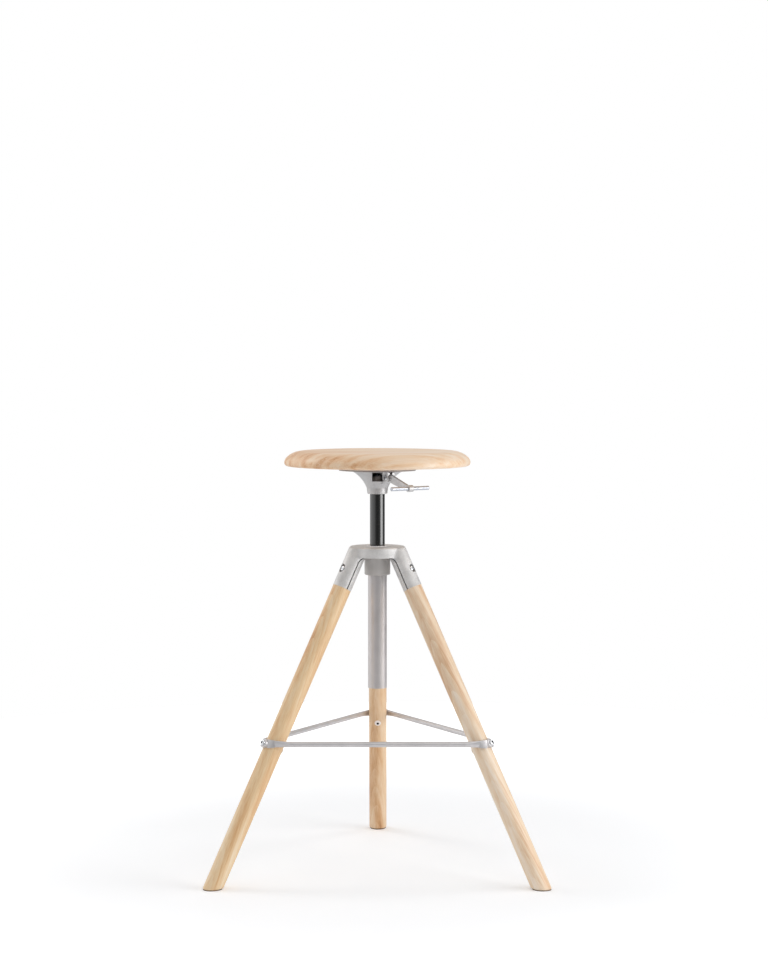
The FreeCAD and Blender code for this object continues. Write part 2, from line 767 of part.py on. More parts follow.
def make_bearing():
    """Balls in a flat cage; both turn at half the swivel's rate between the two races."""
    cage = ring("bearing_cage", "cage_bore", "cage_radius",
                "ball_height - cage_thickness / 2", "ball_height + cage_thickness / 2")
    low = Placement(point("ball_ring", "0", "ball_height - 1.5 * cage_thickness"), Rotation())
    pocket = round_piece(cage, "Subtractive", "cage_pocket",
                         "ball_radius + pocket_gap", "3 * cage_thickness", low)
    polar(cage, "cage_pockets", pocket, int(value("ball_count")))
    keep(cage, "bearing_cage")
    balls = []
    for number in range(int(value("ball_count"))):
        around = Rotation(UP, 360 * number / value("ball_count"))
        place = Placement(around.multVec(point("ball_ring", "0", "ball_height")), around)
        balls.append(primitive("Sphere", "bearing_ball_%d" % (number + 1), place, Radius="ball_radius"))
    group("bearing_balls", balls)


def make_rod_group():
    """The gas spring's rod, which stands on the bearing at the column's foot, and what is fixed to it."""
    rod = turned("piston_rod", [
        ("0", "piston_rod_bottom"),
        ("piston_rod_radius - piston_rod_chamfer", "piston_rod_bottom"),
        ("piston_rod_radius", "piston_rod_bottom + piston_rod_chamfer"),
        ("piston_rod_radius", "clip_bottom"),
        ("clip_groove", "clip_bottom"),
        ("clip_groove", "clip_top"),
        ("piston_rod_radius", "clip_top"),
        ("piston_rod_radius", "piston_top"),
        ("0", "piston_top"),
    ])
    keep(rod, "piston_rod")
    keep(ring("rod_clip", "clip_groove + fit_gap", "clip_radius",
              "clip_bottom + fit_gap", "clip_top - fit_gap"), "rod_clip")
    keep(ring("thrust_upper_race", "piston_rod_radius + fit_gap", "race_radius",
              "upper_race_bottom", "upper_race_top"), "thrust_upper_race")
    keep(ring("bump_stop", "piston_rod_radius + fit_gap", "stop_radius", "upper_race_top", "stop_top"),
         "bump_stop")
    groove_low = "(piston_bottom + piston_top - piston_seal_height) / 2"
    groove_high = "(piston_bottom + piston_top + piston_seal_height) / 2"
    piston = turned("piston", [
        ("piston_rod_radius + fit_gap", "piston_bottom"),
        ("piston_radius", "piston_bottom"),
        ("piston_radius", groove_low),
        ("piston_radius - piston_seal_depth", groove_low),
        ("piston_radius - piston_seal_depth", groove_high),
        ("piston_radius", groove_high),
        ("piston_radius", "piston_top"),
        ("piston_rod_radius + fit_gap", "piston_top"),
    ])
    keep(piston, "piston")
    keep(ring("piston_seal", "piston_radius - piston_seal_depth + fit_gap", "cylinder_bore - fit_gap",
              groove_low + " + fit_gap", groove_high + " - fit_gap"), "piston_seal")


def make_cylinder_group():
    """The gas spring's cylinder, which rises with the seat: tube, gland, rod seal and valve."""
    tube = turned("gas_cylinder", [
        ("cylinder_bore", "cylinder_bottom"),
        ("cylinder_radius - cylinder_chamfer", "cylinder_bottom"),
        ("cylinder_radius", "cylinder_bottom + cylinder_chamfer"),
        ("cylinder_radius", "cylinder_top - cylinder_chamfer"),
        ("cylinder_radius - cylinder_chamfer", "cylinder_top"),
        ("cylinder_bore", "cylinder_top"),
    ])
    keep(tube, "gas_cylinder")
    keep(ring("cylinder_gland", "gland_bore", "cylinder_bore - fit_gap", "gland_bottom", "gland_top"),
         "cylinder_gland")
    keep(ring("rod_seal", "piston_rod_radius + fit_gap", "cylinder_bore - fit_gap",
              "gland_top", "rod_seal_top"), "rod_seal")
    valve = turned("valve_body", [
        ("0", "valve_bottom"),
        ("cylinder_bore - fit_gap", "valve_bottom"),
        ("cylinder_bore - fit_gap", "cylinder_top"),
        ("valve_neck_radius", "cylinder_top"),
        ("valve_neck_radius", "valve_top"),
        ("valve_pin_bore", "valve_top"),
        ("valve_pin_bore", "valve_bore_bottom"),
        ("0", "valve_bore_bottom"),
    ])
    keep(valve, "valve_body")
    pin = turned("valve_pin", [
        ("0", "valve_pin_bottom"),
        ("valve_pin_radius", "valve_pin_bottom"),
        ("valve_pin_radius", "valve_pin_top - valve_pin_chamfer"),
        ("valve_pin_radius - valve_pin_chamfer", "valve_pin_top"),
        ("0", "valve_pin_top"),
    ])
    keep(pin, "valve_pin")


def make_bracket():
    """The cast trumpet under the seat, bored for the cylinder, with a window and ears for the lever."""
    body = turned("seat_bracket", [
        ("0", "bracket_bottom"),
        ("bracket_foot_radius - bracket_chamfer", "bracket_bottom"),
        ("bracket_foot_radius", "bracket_bottom + bracket_chamfer"),
        ("bracket_waist_radius", "bracket_waist_height"),
        ("bracket_top_radius", "bracket_rim", "-bracket_flare"),
        ("bracket_top_radius", "plate_underside"),
        ("0", "plate_underside"),
    ])
    extrude(body, "Pad", "bracket_ears", "XZ_Plane", [
        ("ear_inner", "ear_foot"),
        ("pivot_reach - ear_radius", "pivot_height - 1.3 * ear_radius"),
        ("pivot_reach", "pivot_height - ear_radius"),
        ("pivot_reach + ear_radius", "pivot_height", "ear_radius"),
        ("pivot_reach + ear_radius", "plate_underside"),
        ("ear_inner", "plate_underside"),
    ], "2 * ear_half", turn=value("lever_turn") - 90)
    round_piece(body, "Subtractive", "bracket_bore", "bracket_bore",
                "bracket_cavity_floor - bracket_bottom + 2 * overcut",
                Placement(point("0", "0", "bracket_bottom - overcut"), Rotation()))
    round_piece(body, "Subtractive", "bracket_cavity", "bracket_cavity_radius",
                "plate_underside - bracket_cavity_floor + overcut",
                Placement(point("0", "0", "bracket_cavity_floor"), Rotation()))
    extrude(body, "Pocket", "bracket_window", "XZ_Plane", [
        ("-window_half", "window_bottom"),
        ("window_half", "window_bottom"),
        ("window_half", "window_top"),
        ("-window_half", "window_top"),
    ], "bracket_top_radius + overcut", both_ways=False, reverse=True)
    extrude(body, "Pocket", "bracket_slot", "XZ_Plane", [
        ("slot_inner", "slot_inner_bottom"),
        ("slot_start", "slot_bottom"),
        ("slot_knee", "slot_bottom"),
        ("slot_outer", "slot_outer_bottom"),
        ("slot_outer", "plate_underside + overcut"),
        ("slot_inner", "plate_underside + overcut"),
    ], "2 * slot_half", turn=value("lever_turn") - 90)
    pin_place = LEVER.multiply(Placement(point("pivot_reach", "0", "pivot_height"), SIDEWAYS))
    round_piece(body, "Subtractive", "bracket_pin_hole", "pivot_radius + pivot_gap", "4 * ear_half",
                pin_place.multiply(Placement(point("0", "0", "-2 * ear_half"), Rotation())))
    for name, start in (("clip_spot_face", "ear_half"), ("head_spot_face", "-ear_half - spot_face_depth")):
        round_piece(body, "Subtractive", name, "spot_face_radius", "spot_face_depth",
                    pin_place.multiply(Placement(point("0", "0", start), Rotation())))
    for number, place in enumerate(bracket_screw_places(), start=1):
        thread = place.multiply(Placement(point("0", "0", "-bracket_screw_length - end_gap"), Rotation()))
        round_piece(body, "Subtractive", "bracket_screw_hole_%d" % number,
                    "bracket_screw_radius + thread_gap", "bracket_screw_length + end_gap", thread)
    keep(body, "seat_bracket")


def make_lever():
    """The release lever: its arm and cross bar, the pin it turns on, and the pin's clip."""
    arm = new_body("lever_arm")
    extrude(arm, "Pad", "lever_blade", "XZ_Plane", [
        ("-valve_pin_radius", "nose_underside"),
        ("nose_flat", "nose_underside"),
        ("arm_heel", "arm_heel_height"),
        ("arm_belly_start", "arm_belly_start_height"),
        ("arm_belly", "arm_belly_height"),
        ("arm_knee", "arm_knee_height"),
        ("arm_waist", "arm_waist_height"),
        ("arm_end", "arm_end_underside"),
        ("arm_end", "arm_end_top"),
        ("arm_shoulder", "arm_shoulder_height"),
        ("arm_crest", "nose_top"),
        ("-valve_pin_radius", "nose_top"),
    ], "2 * arm_half")
    at_bar = Placement(point("bar_reach", "0", "bar_height"), SIDEWAYS)
    at_pivot = Placement(point("pivot_reach", "0", "pivot_height"), SIDEWAYS)
    round_piece(arm, "Additive", "lever_boss", "boss_radius", "2 * boss_half",
                at_bar.multiply(Placement(point("0", "0", "-boss_half"), Rotation())))
    round_piece(arm, "Subtractive", "lever_bar_hole", "bar_radius + bar_gap", "4 * boss_half",
                at_bar.multiply(Placement(point("0", "0", "-2 * boss_half"), Rotation())))
    round_piece(arm, "Subtractive", "lever_pivot_hole", "pivot_radius + pivot_gap", "4 * arm_half",
                at_pivot.multiply(Placement(point("0", "0", "-2 * arm_half"), Rotation())))
    keep(arm, "lever_arm", LEVER)
    bar = turned("lever_bar", [
        ("0", "-bar_half"),
        ("bar_radius - bar_chamfer", "-bar_half"),
        ("bar_radius", "bar_chamfer - bar_half"),
        ("bar_radius", "bar_half - bar_chamfer"),
        ("bar_radius - bar_chamfer", "bar_half"),
        ("0", "bar_half"),
    ])
    keep(bar, "lever_bar", LEVER.multiply(at_bar))
    pin = turned("lever_pin", [
        ("0", "-ear_half - pivot_head"),
        ("pivot_head_radius - pivot_head_chamfer", "-ear_half - pivot_head"),
        ("pivot_head_radius", "pivot_head_chamfer - ear_half - pivot_head"),
        ("pivot_head_radius", "-ear_half - fit_gap"),
        ("pivot_radius", "-ear_half - fit_gap"),
        ("pivot_radius", "pin_groove_start"),
        ("pin_groove_radius", "pin_groove_start"),
        ("pin_groove_radius", "pin_groove_end"),
        ("pivot_radius", "pin_groove_end"),
        ("pivot_radius", "pin_end"),
        ("0", "pin_end"),
    ])
    keep(pin, "lever_pin", LEVER.multiply(at_pivot))
    clip = ring("lever_pin_clip", "pin_groove_radius + fit_gap", "pin_clip_radius",
                "pin_groove_start + fit_gap", "pin_groove_end - fit_gap")
    keep(clip, "lever_pin_clip", LEVER.multiply(at_pivot))


def bracket_screw_places():
    """Where the bracket's screws sit, heads up in the plate's top face."""
    return [Placement(Rotation(UP, angle).multVec(point("bracket_screw_ring", "0", "plate_top")), Rotation())
            for angle in BRACKET_SCREW_TURNS]


def seat_screw_places():
    """Where the seat's screws sit: heads down in the plate's underside."""
    return [Placement(Rotation(UP, angle).multVec(point("seat_screw_ring", "0", "plate_underside")),
                      Rotation(Vector(1, 0, 0), 180)) for angle in SEAT_SCREW_TURNS]


def countersunk_screws(label, places, radius, length):
    """Countersunk screws with their flat heads' tops at their own origins."""
    screws = []
    for number, place in enumerate(places, start=1):
        name = "%s_%d" % (label, number)
        screw = turned(name, [
            ("0", "-" + length),
            (radius + " - screw_point", "-" + length),
            (radius, "2 * screw_point - " + length),
            (radius, "-countersink_depth"),
            ("countersink_radius", "0"),
            ("0", "0"),
        ])
        extrude(screw, "Pocket", name + "_key", "XY_Plane", hexagon("small_key_radius"), "small_key_depth",
                both_ways=False)
        screw.Placement = place
        screws.append(screw)
    group(label, screws)


def countersink(body, name, place, radius):
    """A countersunk hole through the plate; its place has +Z out of a face."""
    depth = "plate_top - plate_underside + overcut"
    sink = body.newObject("PartDesign::SubtractiveCone", name + "_sink")
    sink.setExpression("Radius1", bound("%s + peg_gap" % radius))
    sink.setExpression("Radius2", bound("countersink_radius + peg_gap"))
    sink.setExpression("Height", bound("countersink_depth"))
    sink.Placement = place.multiply(Placement(point("0", "0", "-countersink_depth"), Rotation()))
    round_piece(body, "Subtractive", name + "_hole", "%s + peg_gap" % radius, depth,
                place.multiply(Placement(point("0", "0", "-(%s)" % depth), Rotation())))


def make_seat():
    """The turned wooden seat, and the steel plate that joins it to the bracket."""
    plate = ring("seat_plate", "0", "plate_radius", "plate_underside", "plate_top")
    for number, place in enumerate(bracket_screw_places(), start=1):
        countersink(plate, "plate_bracket_%d" % number, place, "bracket_screw_radius")
    for number, place in enumerate(seat_screw_places(), start=1):
        countersink(plate, "plate_seat_%d" % number, place, "seat_screw_radius")
    keep(plate, "seat_plate")
    rim_height = "(seat_top - seat_nose)"
    crown = "((rim_width^2 + %s^2 - 2 * rim_width * nose_radius) / (2 * (%s - nose_radius)))"
    crown = crown % (rim_height, rim_height)
    meet_share = "%s / (%s - nose_radius)" % (crown, crown)
    under_across = "seat_radius - nose_under_radius * (1 - sin(seat_slope))"
    under_up = "seat_nose - nose_under_radius * cos(seat_slope)"
    seat = turned("seat", [
        ("0", "seat_underside"),
        ("%s - (%s - seat_underside) / tan(seat_slope)" % (under_across, under_up), "seat_underside"),
        (under_across, under_up),
        ("seat_radius", "seat_nose", "nose_under_radius"),
        ("seat_radius - rim_width + %s * (rim_width - nose_radius)" % meet_share,
         "seat_top - %s + %s * (%s - %s)" % (crown, meet_share, crown, rim_height), "nose_radius"),
        ("seat_radius - rim_width", "seat_top", crown),
        ("0", "seat_top"),
    ])
    for number, place in enumerate(seat_screw_places(), start=1):
        round_piece(seat, "Subtractive", "seat_screw_hole_%d" % number, "seat_screw_radius + thread_gap",
                    "seat_screw_length + end_gap",
                    place.multiply(Placement(point("0", "0", "-seat_screw_length - end_gap"), Rotation())))
    keep(seat, "seat")


make_hub()
for leg_side, leg_turn in LEGS.items():
    make_leg(leg_side, leg_turn)
    make_glide(leg_side, leg_turn)
    make_clamp(leg_side, leg_turn)
hub_washers()
cross_screws("hub_leg_bolts", "seat_face + washer_height + socket_bore", "hub_bolt_at",
             "seat_face + washer_height")
cross_screws("footrest_bolts", "lug_face + 8", "foot_bolt_at", "lug_face")
sleeve_nuts()
for rod_side, rod_turn in {"front": 0, "right": 120, "left": 240}.items():
    make_footrest_rod(rod_side, rod_turn)
make_column()
make_bearing()
make_rod_group()
make_cylinder_group()
make_bracket()
make_lever()
make_seat()
countersunk_screws("bracket_screws", bracket_screw_places(), "bracket_screw_radius", "bracket_screw_length")
countersunk_screws("seat_screws", seat_screw_places(), "seat_screw_radius", "seat_screw_length")

doc.recompute()
for item in doc.Objects:
    if "Invalid" in item.State or "Error" in item.State:
        raise RuntimeError("%s failed: %s" % (item.Name, item.getStatusString()))
os.makedirs("parts", exist_ok=True)
for node in nodes:
    if node.Shape.isNull() or not node.Shape.isValid():
        raise RuntimeError(node.Label + " has no valid shape")
    node.Shape.exportStep("parts/%s.step" % node.Label)
    print("%-24s %d solids, %9.1f mm3" % (node.Label, len(node.Shape.Solids), node.Shape.Volume))
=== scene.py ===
"""The looks of a machinist stool: turned wood, cast aluminium, coated tube and a gas spring.

Metres, +Z up, seen along +Y with the rear leg behind the column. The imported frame's own pieces keep
their shapes and get their finishes here.
"""
import math

import bmesh
import bpy
from mathutils import Euler, Matrix, Vector


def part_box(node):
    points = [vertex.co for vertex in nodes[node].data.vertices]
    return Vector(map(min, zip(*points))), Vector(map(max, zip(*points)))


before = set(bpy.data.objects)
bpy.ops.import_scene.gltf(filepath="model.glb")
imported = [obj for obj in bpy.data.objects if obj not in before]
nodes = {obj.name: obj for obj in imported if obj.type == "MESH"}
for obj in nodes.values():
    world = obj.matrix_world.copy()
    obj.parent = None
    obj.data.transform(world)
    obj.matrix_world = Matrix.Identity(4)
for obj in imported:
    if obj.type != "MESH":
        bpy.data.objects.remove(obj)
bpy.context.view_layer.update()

MM = 0.001
UP = Vector((0, 0, 1))

# The column's axis and the legs, as the frame has them.
COLUMN_Y = (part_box("column_tube")[0].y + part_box("column_tube")[1].y) / 2
LEG_LEAN = math.radians(26.7)
LEG_APEX = Vector((0, COLUMN_Y, 688 * MM))
LEG_TURNS = {"rear": 0, "front_left": 120, "front_right": 240}

# A colour Mix node's sockets, by number, because their names repeat.
MIX_A = 6
MIX_B = 7
MIX_RESULT = 2

# Wood grain: widths across it in millimetres, and how much shorter each pattern is measured along it, which
# draws it out. Fibres are some tenths of a millimetre wide; they are drawn wider, so that they show.
FIBRE_MM = 1.6
BAND_MM = 14
RING_DRAW = (1, 1, 0.16)
FIBRE_DRAW = (1, 1, 0.03)
STREAK_TONE = "CC842E"
STREAK_FADE = 20 * MM
# The near-black painted on the legs' spigots inside the sockets: painted shade in the clamps' split lines.
SPIGOT_SHADE_TONE = "15100D"

# The broad drift of tone over a metal, painted or moulded surface, and the span of its two grains together.
BROAD_MM = 28
GRAIN_SPAN = {"From Min": 0.45, "From Max": 1.05}


def linear(code):
    """A hex sRGB colour as the linear colour a shader takes."""
    channels = [int(code[start:start + 2], 16) / 255 for start in (0, 2, 4)]
    return [c / 12.92 if c <= 0.04045 else ((c + 0.055) / 1.055) ** 2.4 for c in channels] + [1.0]


def connect(tree, node, links):
    """Links a node's inputs, by name or number, to their sources."""
    for name, source in links.items():
        tree.links.new(source, node.inputs[name])


def add(tree, kind, settings=None, links=None):
    """Adds a node, sets its inputs or its own settings by name or number, and links inputs to sources."""
    node = tree.nodes.new(kind)
    for name, setting in (settings or {}).items():
        if not isinstance(name, int) and hasattr(node, name):
            setattr(node, name, setting)
        else:
            node.inputs[name].default_value = setting
    connect(tree, node, links or {})
    return node


def set_stops(node, stops):
    """Gives a colour ramp its stops, as (position, linear colour) pairs."""
    elements = node.color_ramp.elements
    while len(elements) < len(stops):
        elements.new(0.5)
    for element, (position, colour) in zip(elements, stops):
        element.position = position
        element.color = colour


def new_material(name, **settings):
    """A material of one Principled shader; the settings are values of its own sockets."""
    material = bpy.data.materials.new(name)
    material.use_nodes = True
    tree = material.node_tree
    tree.nodes.clear()
    own = {key.replace("_", " "): value for key, value in settings.items()}
    shader = add(tree, "ShaderNodeBsdfPrincipled", own)
    add(tree, "ShaderNodeOutputMaterial", links={"Surface": shader.outputs[0]})
    return material, tree, shader


def per_metre(size_mm):
    """A noise texture's scale for features of a size in millimetres."""
    return 1 / (size_mm * MM)


def rings_per(size_mm):
    """A wave texture's scale for rings of a spacing in millimetres."""
    return math.pi / 10 / (size_mm * MM)


def leg_turn(side):
    """A leg's turn from upright: leaned away from the column, then turned round it."""
    return Matrix.Rotation(math.radians(LEG_TURNS[side]), 3, "Z") @ Matrix.Rotation(LEG_LEAN, 3, "X")


def streaked(tree, wood, local, fibres, streak):
    """The colour of the wood with some rings darker, broken up by the fibres.

    `streak` is those rings' distance from the heart, their width, and where along the grain they begin.
    """
    distance, width, start = streak
    flat = add(tree, "ShaderNodeMapping", {"Scale": (1, 1, 0)}, {"Vector": local})
    from_heart = add(tree, "ShaderNodeVectorMath", {"operation": "LENGTH"}, {0: flat.outputs[0]})
    off = add(tree, "ShaderNodeMath", {"operation": "SUBTRACT", 1: distance},
              {0: from_heart.outputs["Value"]})
    aside = add(tree, "ShaderNodeMath", {"operation": "ABSOLUTE"}, {0: off.outputs[0]})
    near = add(tree, "ShaderNodeMapRange", {"From Min": width, "From Max": 0.3 * width},
               {"Value": aside.outputs[0]})
    along = add(tree, "ShaderNodeSeparateXYZ", links={0: local})
    begun = add(tree, "ShaderNodeMapRange", {"From Min": start, "From Max": start - STREAK_FADE},
                {"Value": along.outputs["Z"]})
    here = add(tree, "ShaderNodeMath", {"operation": "MULTIPLY"}, {0: near.outputs[0], 1: begun.outputs[0]})
    broken = add(tree, "ShaderNodeMapRange", {"From Min": 0.35, "From Max": 0.65, "To Min": 0.2},
                 {"Value": fibres})
    fibred = add(tree, "ShaderNodeMath", {"operation": "MULTIPLY"},
                 {0: here.outputs[0], 1: broken.outputs[0]})
    shown = add(tree, "ShaderNodeMix", {"data_type": "RGBA", MIX_B: linear(STREAK_TONE)},
                {0: fibred.outputs[0], MIX_A: wood})
    return shown.outputs[MIX_RESULT]


def painted_spigot_shade(tree, wood, place, shaded_end):
    """The colour of the wood, painted dark beyond a height along an axis: painted shade for the clamps' split
    lines.
    """
    axis, start = shaded_end
    height = add(tree, "ShaderNodeVectorMath", {"operation": "DOT_PRODUCT", 1: axis}, {0: place})
    beyond = add(tree, "ShaderNodeMath", {"operation": "GREATER_THAN", 1: start},
                 {0: height.outputs["Value"]})
    shown = add(tree, "ShaderNodeMix", {"data_type": "RGBA", MIX_B: linear(SPIGOT_SHADE_TONE)},
                {0: beyond.outputs[0], MIX_A: wood})
    return shown.outputs[MIX_RESULT]


def lacquered_wood(name, heart, turn, tones, ring_mm, patch_mm, wander, contrast,
                   shaded_end=None, streak=None, drift=0):
    """Turned wood under clear matt lacquer. The grain runs along local Z of `turn`, round a heart off a side.

    Growth rings are `ring_mm` apart, stray from even by `wander`, and show by `contrast` in patches of
    `patch_mm`. Beyond a height along an axis, if given, the wood is painted dark as painted shade in the
    clamps' split lines, and `streak` is what `streaked` takes.
    The last argument is how fast the wood is painted paler to the right, per metre: painted light from the
    key light on that side.
    """
    material, tree, shader = new_material(name, Coat_Weight=0.5, Coat_Roughness=0.42, IOR=1.5)
    place = add(tree, "ShaderNodeTexCoord").outputs["Object"]
    local = add(tree, "ShaderNodeMapping", {"vector_type": "TEXTURE", "Location": heart, "Rotation": turn},
                {"Vector": place}).outputs[0]
    drawn_out = add(tree, "ShaderNodeMapping", {"Scale": RING_DRAW}, {"Vector": local})
    # Growth rings wander slowly along the grain, and show as darker lines in some patches only.
    rings = add(tree, "ShaderNodeTexWave", {
        "wave_type": "RINGS", "rings_direction": "Z", "wave_profile": "SAW", "Scale": rings_per(ring_mm),
        "Distortion": wander, "Detail": 2, "Detail Scale": 0.5, "Detail Roughness": 0.5,
    }, {"Vector": drawn_out.outputs[0]})
    patches = add(tree, "ShaderNodeTexNoise", {"Scale": per_metre(patch_mm), "Detail": 1},
                  {"Vector": drawn_out.outputs[0]})
    strength = add(tree, "ShaderNodeMapRange",
                   {"From Min": 0.42, "From Max": 0.66, "To Min": 0.15, "To Max": 1.0},
                   {"Value": patches.outputs["Fac"]})
    lines = add(tree, "ShaderNodeMath", {"operation": "MULTIPLY"},
                {0: rings.outputs["Fac"], 1: strength.outputs[0]})
    fibre_space = add(tree, "ShaderNodeMapping", {"Scale": FIBRE_DRAW}, {"Vector": local})
    fibres = add(tree, "ShaderNodeTexNoise", {"Scale": per_metre(FIBRE_MM), "Detail": 3, "Roughness": 0.6},
                 {"Vector": fibre_space.outputs[0]})
    # Broad bands drift from pale to warm, a finger's width across.
    bands = add(tree, "ShaderNodeTexNoise", {"Scale": per_metre(BAND_MM), "Detail": 2},
                {"Vector": fibre_space.outputs[0]})
    grain = add(tree, "ShaderNodeMath", {"operation": "MULTIPLY_ADD", 1: 0.5},
                {0: fibres.outputs["Fac"], 2: bands.outputs["Fac"]})
    grained = add(tree, "ShaderNodeMath", {"operation": "MULTIPLY_ADD", 1: -contrast},
                  {0: lines.outputs[0], 2: grain.outputs[0]})
    # Painted light: the wood paler towards the right, where the key light is.
    side = add(tree, "ShaderNodeSeparateXYZ", links={0: place})
    painted_light_added = add(tree, "ShaderNodeMath", {"operation": "MULTIPLY_ADD", 1: drift},
                   {0: side.outputs["X"], 2: grained.outputs[0]})
    spread = add(tree, "ShaderNodeMapRange", {"From Min": 0.3, "From Max": 1.0},
                 {"Value": painted_light_added.outputs[0]})
    colour = add(tree, "ShaderNodeValToRGB", links={"Fac": spread.outputs[0]})
    set_stops(colour, [(position, linear(code)) for position, code in tones])
    rough = add(tree, "ShaderNodeMapRange", {"To Min": 0.45, "To Max": 0.62},
                {"Value": fibres.outputs["Fac"]})
    bump = add(tree, "ShaderNodeBump", {"Strength": 0.12, "Distance": 0.3 * MM},
               {"Height": grained.outputs[0]})
    wood = colour.outputs[0]
    if streak:
        wood = streaked(tree, wood, local, fibres.outputs["Fac"], streak)
    # Painted shade: the wood inside the socket dark, for the clamps' split lines.
    if shaded_end:
        wood = painted_spigot_shade(tree, wood, place, shaded_end)
    connect(tree, shader, {"Base Color": wood, "Roughness": rough.outputs[0], "Normal": bump.outputs[0]})
    return material


def grained_surface(name, pale, dark, grain_mm, rough, relief, stretch=(1, 1, 1), **settings):
    """A metal, painted or moulded surface whose tone and gloss vary with a fine grain and a broad one.

    `pale` and `dark` are its tones, `rough` the two ends of its roughness, `relief` its grain's strength as
    bump, and `stretch` less than 1 draws the grain out along that axis.
    """
    material, tree, shader = new_material(name, **settings)
    place = add(tree, "ShaderNodeTexCoord").outputs["Object"]
    space = add(tree, "ShaderNodeMapping", {"Scale": stretch}, {"Vector": place})
    grain = add(tree, "ShaderNodeTexNoise", {"Scale": per_metre(grain_mm), "Detail": 3, "Roughness": 0.6},
                {"Vector": space.outputs[0]})
    broad = add(tree, "ShaderNodeTexNoise", {"Scale": per_metre(BROAD_MM), "Detail": 2}, {"Vector": place})
    both = add(tree, "ShaderNodeMath", {"operation": "MULTIPLY_ADD", 1: 0.5},
               {0: grain.outputs["Fac"], 2: broad.outputs["Fac"]})
    spread = add(tree, "ShaderNodeMapRange", GRAIN_SPAN, {"Value": both.outputs[0]})
    colour = add(tree, "ShaderNodeValToRGB", links={"Fac": spread.outputs[0]})
    set_stops(colour, [(0, linear(dark)), (1, linear(pale))])
    gloss = add(tree, "ShaderNodeMapRange", {**GRAIN_SPAN, "To Min": rough[0], "To Max": rough[1]},
                {"Value": both.outputs[0]})
    bump = add(tree, "ShaderNodeBump", {"Strength": relief, "Distance": 0.15 * MM},
               {"Height": grain.outputs["Fac"]})
    connect(tree, shader, {"Base Color": colour.outputs[0], "Roughness": gloss.outputs[0],
                           "Normal": bump.outputs[0]})
    return material


def painted_socket_shade(material, axes, radius, tone):
    """Paints what lies within `radius` of the axes a plain tone, as painted shade. Each is a place and a
    turn, along Y.
    """
    tree = material.node_tree
    shader = tree.nodes["Principled BSDF"]
    place = add(tree, "ShaderNodeTexCoord").outputs["Object"]
    nearest = None
    for where, turn in axes:
        local = add(tree, "ShaderNodeMapping",
                    {"vector_type": "TEXTURE", "Location": where, "Rotation": turn}, {"Vector": place})
        flat = add(tree, "ShaderNodeMapping", {"Scale": (1, 0, 1)}, {"Vector": local.outputs[0]})
        length = add(tree, "ShaderNodeVectorMath", {"operation": "LENGTH"}, {0: flat.outputs[0]})
        reach = length.outputs["Value"]
        if nearest:
            reach = add(tree, "ShaderNodeMath", {"operation": "MINIMUM"}, {0: nearest, 1: reach}).outputs[0]
        nearest = reach
    inside = add(tree, "ShaderNodeMath", {"operation": "LESS_THAN", 1: radius}, {0: nearest})
    coated = shader.inputs["Base Color"].links[0].from_socket
    shown = add(tree, "ShaderNodeMix", {"data_type": "RGBA", MIX_B: linear(tone)},
                {0: inside.outputs[0], MIX_A: coated})
    connect(tree, shader, {"Base Color": shown.outputs[MIX_RESULT]})


# Beech, turned and lacquered: pale tan, with faint growth rings that sweep round the edge and one darker
# streak at the left, and painted paler to the right as painted light from the key light there. Its grain lies
# nearly level and runs across the seat, a little off X.
SEAT_TONES = ((0.0, "CC8C58"), (0.3, "E9B98B"), (0.6, "F4D2AE"), (1.0, "FAE4CC"))
SEAT_HEART = (0.03, COLUMN_Y + 0.03, 0.84)
SEAT_GRAIN_DIP = math.radians(87)
SEAT_GRAIN_TURN = math.radians(18)
SEAT_STREAK = (0.131, 0.009, -0.155)
across = Matrix.Rotation(SEAT_GRAIN_TURN, 3, "Z") @ Matrix.Rotation(SEAT_GRAIN_DIP, 3, "Y")
beech = lacquered_wood("lacquered_beech", SEAT_HEART, tuple(across.to_euler()), SEAT_TONES, ring_mm=6,
                       patch_mm=60, wander=5, contrast=0.12, streak=SEAT_STREAK, drift=1.0)

# Ash, turned and lacquered: yellower. The rear leg's tones are darker and warmer, as painted shade, for it is
# lit less; the front right leg's are paler, partly its own colour and partly painted light from the key light
# beside it. The grain leans a little from the leg, so the growth rings come out as long pointed flames on the
# side away from the heart.
ASH_TONES = ((0.0, "C08853"), (0.3, "DEAF7C"), (0.6, "EDCC9F"), (1.0, "F6E3C6"))
SHADED_WARM_ASH_TONES = ((0.0, "AC764A"), (0.3, "D3A16F"), (0.6, "E5BF94"), (1.0, "F2D9BB"))
PALE_PARTLY_LIT_ASH_TONES = ((0.0, "C39068"), (0.3, "DDB791"), (0.6, "EBD2B4"), (1.0, "F6E8D8"))
LEG_TONES = {"rear": SHADED_WARM_ASH_TONES, "front_left": ASH_TONES, "front_right": PALE_PARTLY_LIT_ASH_TONES}
RING_CONTRAST = {"rear": 0.22, "front_left": 0.2, "front_right": 0.18}
GRAIN_LEAN = math.radians(5)
# The heart's direction from each leg, in degrees from +X, its distance, and its place down the leg.
HEART_SIDES = {"rear": 75, "front_left": 48, "front_right": 65}
HEART_REACH = 57 * MM
HEART_DOWN = 0.4
